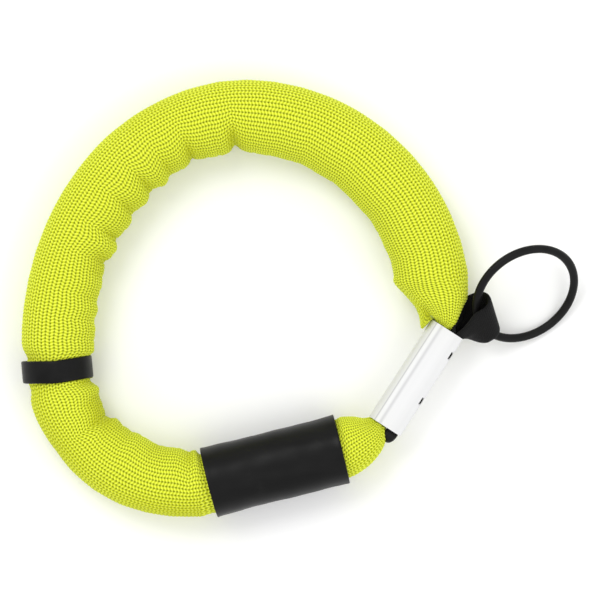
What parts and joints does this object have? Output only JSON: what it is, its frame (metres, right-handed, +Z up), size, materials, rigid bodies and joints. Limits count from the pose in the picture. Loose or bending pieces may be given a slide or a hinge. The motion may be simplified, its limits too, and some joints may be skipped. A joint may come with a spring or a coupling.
{
  "type": "floating wrist strap",
  "caption": "Foam-filled knitted hand loop closed by a folded metal clip, with a black sleeve and band and a rubber ring held in a folded woven tape eye.",
  "frame": {"origin": "middle of the strap's outline in plan, on the surface it lies on", "axes": "+Z up from the surface, +X from the keeper band towards the ring, +Y from the sleeve towards the crown of the loop"},
  "size_m": [0.144, 0.1138, 0.0202],
  "materials": {
    "knit": "high-visibility yellow knitted polyester, matt",
    "foam": "closed-cell foam",
    "cord": "braided cord",
    "sleeve": "satin black flexible sleeve",
    "clip": "bright smooth rolled sheet",
    "tape": "black woven tape",
    "ring": "moulded rubber, satin"
  },
  "bodies": {
    "loop": {"knit_cover": "knit", "foam_core": "foam", "core_cord": "cord", "grip_sleeve": "sleeve", "keeper_band": "sleeve", "clip_shell": "clip", "tape_tail": "tape"},
    "tape_eye": {"tape_eye": "tape"},
    "ring": {"o_ring": "ring"}
  },
  "joints": [
    {"name": "tape_bend", "type": "hinge", "parent": "loop", "child": "tape_eye", "pos_m": [0.04084, -0.00667, 0.0095], "axis": [0, 0, 1], "range_deg": [-18, 14]},
    {"name": "ring_swing", "type": "hinge", "parent": "tape_eye", "child": "ring", "pos_m": [0.04657, -0.00547, 0.01009], "axis": [0.4198, -0.6272, -0.6561], "range_deg": [-8, 120]}
  ]
}
